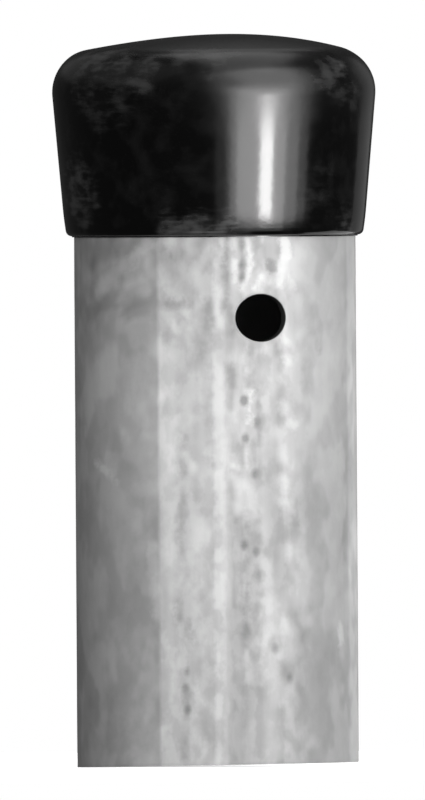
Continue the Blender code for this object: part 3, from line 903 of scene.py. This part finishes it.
def shell_section(rim_radius, crown_height):
    """The shell's whole section: down the outside, which curls in a little at the rim, and up the inside."""
    curl_radius = rim_radius + RIM_CURL_HEIGHT * math.tan(CAP_FLARE)
    curl_middle = (
        curl_radius - RIM_CURL_RADIUS * math.cos(CAP_FLARE),
        RIM_CURL_HEIGHT + RIM_CURL_RADIUS * math.sin(CAP_FLARE),
    )
    curl_end = -math.asin((curl_middle[1] - RIM_ROUND) / RIM_CURL_RADIUS)
    curl = arc(curl_middle, RIM_CURL_RADIUS, curl_end, -CAP_FLARE, RIM_STEPS)
    edge_middle = (
        curl[0][0] - RIM_ROUND * math.cos(curl_end),
        RIM_ROUND - RIM_ROUND * math.sin(curl_end),
    )
    edge = arc(edge_middle, RIM_ROUND, -math.pi / 2, curl_end, RIM_STEPS)
    outer = [*edge[:-1], *curl, *shell_side(rim_radius, crown_height, 0.0)[1:]]
    outer = [(x, max(z, 0.0)) for x, z in outer]
    inner = shell_side(rim_radius, crown_height, CAP_WALL)
    inner_edge = inner[0][0]
    broken = [(inner_edge + RIM_INNER_BREAK, 0.0), (inner_edge, RIM_INNER_BREAK)]
    return [*reversed(outer), *broken, *inner[1:]]


def rib_mesh(rim_radius, crown_height, grip_radius, ledge_height):
    """One rib in the XZ plane: it grips the tube's side, hooks over the tube's end and roots in the shell."""
    root = shell_side(rim_radius, crown_height, CAP_WALL / 2)
    ledge_radius = grip_radius - STOP_LEDGE_REACH
    heights_at = sorted((x, z) for x, z in root[1:] if z > shoulder_centre(rim_radius, crown_height)[1])
    ledge_root = float(np.interp(ledge_radius, [p[0] for p in heights_at], [p[1] for p in heights_at]))
    outline = [(root[0][0] + RIB_START * math.tan(CAP_FLARE), RIB_START)]
    outline += [point for point in root[1:] if point[0] > ledge_radius]
    outline += [(ledge_radius, ledge_root), (ledge_radius, ledge_height), (grip_radius, ledge_height)]
    outline.append((grip_radius, RIB_START + RIB_LEAD_IN))

    # Both cheeks of the rib, and a face between them along each edge of the outline
    count = len(outline)
    points = [(x, y, z) for y in (-RIB_THICKNESS / 2, RIB_THICKNESS / 2) for x, z in outline]
    faces = [tuple(range(count)), tuple(range(2 * count - 1, count - 1, -1))]
    for start in range(count):
        end = (start + 1) % count
        faces.append((end, start, start + count, end + count))
    mesh = bpy.data.meshes.new("cap_rib")
    mesh.from_pydata(points, [], faces)
    return mesh


def rib_tree():
    """Sets the ribs evenly round the inside of the cap's shell."""
    tree, given = new_tree(
        "Set the ribs round the cap",
        {"Object": ("Rib",), "Int": ("Rib count",), "Material": ("Plastic",)},
    )
    spots = add(tree, "GeometryNodePoints", {"Count": given["Rib count"]})
    rib = add(tree, "GeometryNodeObjectInfo", {"Object": given["Rib"]}, out="Geometry")
    index = add(tree, "GeometryNodeInputIndex")
    share = add(tree, "ShaderNodeMath", {0: index, 1: 0.5}, operation="ADD")
    share = add(tree, "ShaderNodeMath", {0: share, 1: given["Rib count"]}, operation="DIVIDE")
    turn = add(tree, "ShaderNodeMath", {0: share, 1: 2 * math.pi}, operation="MULTIPLY")
    turned = add(tree, "ShaderNodeCombineXYZ", {"Z": turn})
    ribs = add(tree, "GeometryNodeInstanceOnPoints", {"Points": spots, "Instance": rib, "Rotation": turned})
    joined = add(tree, "GeometryNodeJoinGeometry", {0: ribs}, out=None)
    tree.links.new(given["Geometry"], joined.inputs[0])
    shape = add(tree, "GeometryNodeRealizeInstances", {0: joined.outputs[0]})
    shape = add(tree, "GeometryNodeSetMaterial", {"Geometry": shape, "Material": given["Plastic"]})
    add(tree, "NodeGroupOutput", {"Geometry": shape}, out=None)
    return tree


# Where the cap is scuffed or dusty: degrees round it from the hole, millimetres from its axis and above its
# rim, reach in millimetres and how strongly it shows. The row from -36 to -14 degrees, 1.6 to 2 mm above the
# rim, is rubbed plastic and also a painted reflection of the pale floor in the rim's curl.
SCUFFS_AND_RIM_REFLECTION = (
    (-59, 31.9, 37.4, 5, 0.35), (-45, 31.6, 37.6, 5, 0.2), (-47, 34.1, 33.3, 4, 0.15),
    (-73, 30.0, 38.9, 8, 0.3), (-64, 34.4, 29.5, 9, 0.12), (-72, 34.4, 31.6, 8, 0.15),
    (-32, 30.0, 38.9, 5, 0.15), (-19, 30.4, 38.6, 6, 0.2), (-82, 32.6, 9.4, 10, 0.22),
    (-36, 32.0, 2.0, 4.5, 0.3), (-31, 31.9, 1.6, 5, 0.3), (-26, 31.9, 1.6, 5, 0.3), (-20, 31.9, 1.6, 5, 0.35),
    (-14, 31.9, 1.6, 5, 0.4), (35, 32.9, 36.1, 4, 0.35), (26, 33.9, 34.2, 4.5, 0.2),
    (37, 34.4, 30.1, 6, 0.12), (21, 32.7, 9.9, 8, 0.06), (42, 32.0, 2.4, 5, 0.2),
)
CLEAN_BLACK = "#030303"
# Paler grey of scuffs, which also paints the floor's reflection along the rim's foot
SCUFF_AND_REFLECTION_GREY = "#505050"


def black_plastic(rim_height):
    """Moulded black polyethylene: glossy from the tool, duller towards the crown from weather, and scuffed
    and dusty in patches from handling. The patches along the rim's foot also paint the pale floor's
    reflection."""
    material, tree = new_material("moulded black polyethylene")
    place = add(tree, "ShaderNodeTexCoord", out="Object")
    height = add(tree, "ShaderNodeSeparateXYZ", {0: place}, out="Z")

    # Dust lies in spots of 2 to 4 mm, and scuffs run round the cap, 1 mm high and 4 mm long
    dust = add(tree, "ShaderNodeTexNoise", {"Vector": place, "Scale": 1 / 0.0045, "Detail": 3.0})
    brushed = add(
        tree,
        "ShaderNodeMapping",
        {"Vector": place, "Rotation": (0.0, 0.4, 0.0), "Scale": (0.25, 0.25, 1.0)},
    )
    scuffs = add(tree, "ShaderNodeTexNoise", {"Vector": brushed, "Scale": 1 / 0.0011, "Detail": 3.0})
    both = add(tree, "ShaderNodeMath", {0: scuffs, 1: dust}, operation="ADD")

    # Patches where the cap was rubbed, and along the rim's foot a painted reflection of the floor too, with
    # borders that stray by the same noise
    stray = add(tree, "ShaderNodeMath", {0: both, 1: -1.0, 2: 1.0}, operation="MULTIPLY_ADD")
    worn_and_reflecting = 0.0
    for turn, off_axis, above, reach, strength in SCUFFS_AND_RIM_REFLECTION:
        way = math.radians(turn)
        off_axis /= 1000
        middle = (off_axis * math.sin(way), -off_axis * math.cos(way), rim_height + above / 1000)
        away = add(tree, "ShaderNodeVectorMath", {0: place, 1: middle}, out="Value", operation="DISTANCE")
        away = add(tree, "ShaderNodeMath", {0: away, 1: 1000 / reach, 2: stray}, operation="MULTIPLY_ADD")
        patch = add(
            tree,
            "ShaderNodeMapRange",
            {"Value": away, "From Min": 0.0, "From Max": 1.0, "To Min": strength, "To Max": 0.0},
            interpolation_type="SMOOTHSTEP",
        )
        worn_and_reflecting = add(tree, "ShaderNodeMath", {0: worn_and_reflecting, 1: patch}, operation="MAXIMUM")

    # Scuffs within the patches, and a faint haze of dust all over, both paler and duller than the plastic; at
    # the rim's foot the same paler grey paints the floor's reflection
    marks = add(
        tree,
        "ShaderNodeMapRange",
        {"Value": both, "From Min": 0.80, "From Max": 1.25, "To Min": 0.15, "To Max": 1.0},
        interpolation_type="SMOOTHSTEP",
    )
    rubbed_and_reflecting = add(tree, "ShaderNodeMath", {0: marks, 1: worn_and_reflecting}, operation="MULTIPLY")
    haze = add(
        tree,
        "ShaderNodeMapRange",
        {"Value": dust, "From Min": 0.45, "From Max": 0.70, "To Min": 0.0, "To Max": 0.03},
    )
    rubbed_and_reflecting = add(tree, "ShaderNodeMath", {0: rubbed_and_reflecting, 1: haze}, operation="ADD", use_clamp=True)
    colour = add(
        tree,
        "ShaderNodeMix",
        {0: rubbed_and_reflecting, 6: linear(CLEAN_BLACK), 7: linear(SCUFF_AND_REFLECTION_GREY)},
        out=2,
        data_type="RGBA",
    )
    weathered = add(
        tree,
        "ShaderNodeMapRange",
        {
            "Value": height,
            "From Min": rim_height + 0.018,
            "From Max": rim_height + 0.034,
            "To Min": 0.13,
            "To Max": 0.26,
        },
        interpolation_type="SMOOTHSTEP",
    )
    roughness = add(tree, "ShaderNodeMath", {0: rubbed_and_reflecting, 1: 0.22, 2: weathered}, operation="MULTIPLY_ADD")
    bump = add(tree, "ShaderNodeBump", {"Height": dust, "Strength": 0.08, "Distance": 0.0004})
    shader = add(
        tree,
        "ShaderNodeBsdfPrincipled",
        {"Base Color": colour, "Roughness": roughness, "IOR": 1.49, "Normal": bump},
    )
    add(tree, "ShaderNodeOutputMaterial", {"Surface": shader}, out=None)
    return material


cap_low, cap_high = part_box("post_cap")
rim_radius = tube_high.x + RIB_GAP + CAP_WALL / math.cos(CAP_FLARE)
crown_height = cap_high.z - cap_low.z
section = shell_section(rim_radius, crown_height)
cap_mesh = bpy.data.meshes.new("moulded_cap")
cap_mesh.from_pydata([(x, 0.0, z) for x, z in section], [(i, i + 1) for i in range(len(section) - 1)], [])
cap = placed("moulded_cap", cap_mesh)
turned = cap.modifiers.new("Turn about Z", "SCREW")
turned.steps = ROUND_STEPS
turned.render_steps = ROUND_STEPS
turned.use_merge_vertices = True
turned.merge_threshold = MERGE_REACH
rib = bpy.data.objects.new(
    "cap_rib",
    rib_mesh(rim_radius, crown_height, tube_high.x + RIB_GAP, tube_high.z + RIB_GAP - cap_low.z),
)
grow(cap, rib_tree(), {"Rib": rib, "Rib count": RIB_COUNT, "Plastic": black_plastic(cap_low.z)})
bpy.data.objects.remove(rib)

# The crown's lean, strongest halfway out, and the cap set at its height on the tube
work = bmesh.new()
work.from_mesh(cap.data)
lean_way = Vector((math.cos(CROWN_LEAN_WAY), math.sin(CROWN_LEAN_WAY)))
for vert in work.verts:
    share = max(0.0, 1 - (vert.co.xy.length / tube_high.x) ** 2)
    if vert.co.z > crown_height / 2:
        vert.co.z += CROWN_LEAN * share * vert.co.xy.dot(lean_way)
    vert.co.z += cap_low.z
bmesh.ops.recalc_face_normals(work, faces=work.faces)
work.to_mesh(cap.data)
work.free()
cap.data.shade_smooth()
cap.data.set_sharp_from_angle(angle=SHARP_FROM)
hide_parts("post_cap")
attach(cap, "root")


# The studio: a pale paper disc under the post, and white all round it. A bright strip light and broad panels
# stand at the front right, dim panels above, below and behind, and three fills light only what is dull. The
# camera looks almost level, a little to the left of the hole.
MM_PER_PIXEL = 0.21314
PHOTO_WIDTH = 425
PHOTO_HEIGHT = 800
FOOT_PIXEL = (218.1, 766.5)
CAMERA_TURN = math.radians(-19.15)
CAMERA_RISE = math.radians(0.3)
CAMERA_ROLL = math.radians(0.367)
CAMERA_DISTANCE = 1.2
WORLD_GLOW = 0.042
PAPER_GLOW = 0.7
PAPER_RADIUS = 0.6
AIM_HEIGHT = 0.09
CEILING_TURN = math.radians(15.0)
CEILING_RIGHT = 0.26
CEILING_AWAY = 0.04

# Each panel's name, degrees to the camera's right and up, distance, width, height and radiance
PANELS = (
    ("strip", 39.2, -8.0, 1.5, 0.255, 0.23, 20.0),
    ("wide_panel", 41.0, 23.0, 1.6, 2.3, 2.35, 1.2),
    ("front_panel", 38.5, 3.0, 1.5, 1.50, 0.88, 2.1),
    ("near_panel", 35.3, -1.8, 1.4, 0.96, 0.66, 3.5),
    ("upper_panel", 44.0, 37.0, 1.45, 1.17, 1.11, 1.9),
    ("left_panel", -75.0, 45.0, 1.3, 1.4, 1.2, 0.2),
    ("right_back_panel", 146.0, 0.0, 1.5, 0.8, 1.4, 0.20),
    ("front_low_panel", -5.0, -38.0, 1.2, 0.5, 0.5, 1.2),
    ("edge_panel", 7.5, 0.0, 1.5, 0.32, 0.8, 0.4),
    ("far_panel", 175.0, 45.0, 1.3, 0.36, 0.50, 0.42),
    ("far_low_panel", 177.5, 29.0, 1.3, 0.26, 0.22, 0.09),
    ("right_low_panel", 135.0, -36.0, 1.2, 1.2, 0.7, 1.0),
    ("left_back_panel", -140.0, 30.0, 1.3, 1.0, 0.7, 0.12),
    ("rim_panel", 36.0, -22.0, 1.4, 0.9, 0.3, 0.7),
)
FILLS = (
    ("left_fill", -38.0, 10.0, 1.5, 1.5, 1.3, 4.0),
    ("right_fill", 78.0, 8.0, 1.5, 1.3, 1.2, 2.0),
    ("back_fill", 180.0, 2.0, 1.6, 0.35, 0.9, 24.0),
)
CEILING_PANEL = ("ceiling_panel", 0.0, 90.0, 1.2, 0.80, 1.60, 1.15)


def white_world():
    """White to the camera, and a dim even grey to everything that reflects it."""
    world = bpy.data.worlds.new("white room")
    world.use_nodes = True
    tree = world.node_tree
    tree.nodes.clear()
    ray = add(tree, "ShaderNodeLightPath", out=None).outputs
    dim = add(tree, "ShaderNodeBackground", {"Color": (1.0, 1.0, 1.0, 1.0), "Strength": WORLD_GLOW})
    white = add(tree, "ShaderNodeBackground", {"Color": (1.0, 1.0, 1.0, 1.0), "Strength": 1.0})
    mixed = add(tree, "ShaderNodeMixShader", {0: ray["Is Camera Ray"], 1: dim, 2: white})
    add(tree, "ShaderNodeOutputWorld", {"Surface": mixed}, out=None)
    return world


def panel_light(name, turn, rise, distance, width, height, strength):
    """A flat soft light that faces the post, from this many degrees to the camera's right and up."""
    data = bpy.data.lights.new(name, "AREA")
    data.shape = "RECTANGLE"
    data.size = width
    data.size_y = height
    data.energy = strength * width * height * math.pi
    light = placed(name, data)
    way = CAMERA_TURN + math.radians(turn)
    lift = math.radians(rise)
    back = Vector((math.sin(way) * math.cos(lift), -math.cos(way) * math.cos(lift), math.sin(lift)))
    light.location = Vector((0.0, 0.0, AIM_HEIGHT)) + back * distance
    light.rotation_euler = back.to_track_quat("Z", "Y").to_euler()
    light.visible_camera = False
    return light


floor_mesh = bpy.data.meshes.new("paper_floor")
work = bmesh.new()
bmesh.ops.create_circle(work, cap_ends=True, segments=128, radius=PAPER_RADIUS)
work.to_mesh(floor_mesh)
work.free()
floor = placed("paper_floor", floor_mesh)
paper, paper_tree = new_material("matt white paper")
paper_shader = add(
    paper_tree,
    "ShaderNodeBsdfPrincipled",
    {
        "Base Color": linear("#f4f4f4"),
        "Roughness": 0.9,
        "Emission Color": (1.0, 1.0, 1.0, 1.0),
        "Emission Strength": PAPER_GLOW,
    },
)
add(paper_tree, "ShaderNodeOutputMaterial", {"Surface": paper_shader}, out=None)
floor_mesh.materials.append(paper)
floor.visible_glossy = False
floor.visible_diffuse = False
floor.visible_shadow = False

bpy.context.scene.world = white_world()
for panel in PANELS:
    panel_light(*panel)
for fill in FILLS:
    panel_light(*fill).visible_glossy = False
right = Vector((math.cos(CAMERA_TURN), math.sin(CAMERA_TURN), 0.0))
towards_camera = Vector((math.sin(CAMERA_TURN), -math.cos(CAMERA_TURN), 0.0))
ceiling = panel_light(*CEILING_PANEL)
ceiling.rotation_euler = (0.0, 0.0, CAMERA_TURN + CEILING_TURN)
ceiling.location += right * CEILING_RIGHT
ceiling.location -= towards_camera * CEILING_AWAY

back = Vector((
    math.sin(CAMERA_TURN) * math.cos(CAMERA_RISE),
    -math.cos(CAMERA_TURN) * math.cos(CAMERA_RISE),
    math.sin(CAMERA_RISE),
))
up = back.cross(right)
rolled_right = right * math.cos(CAMERA_ROLL) - up * math.sin(CAMERA_ROLL)
rolled_up = up * math.cos(CAMERA_ROLL) + right * math.sin(CAMERA_ROLL)

# The foot's middle falls on its own pixel, and the picture is as high as the photograph
foot_x = (FOOT_PIXEL[0] - PHOTO_WIDTH / 2) * MM_PER_PIXEL / 1000
foot_y = (PHOTO_HEIGHT / 2 - FOOT_PIXEL[1]) * MM_PER_PIXEL / 1000
camera_data = bpy.data.cameras.new("camera")
camera_data.type = "ORTHO"
camera_data.ortho_scale = PHOTO_HEIGHT * MM_PER_PIXEL / 1000
camera = placed("camera", camera_data)
camera_place = back * CAMERA_DISTANCE - rolled_right * foot_x - rolled_up * foot_y
camera_axes = Matrix((rolled_right, rolled_up, back)).transposed().to_4x4()
camera.matrix_world = Matrix.Translation(camera_place) @ camera_axes
bpy.context.scene.camera = camera
bpy.context.scene.view_settings.view_transform = "Standard"
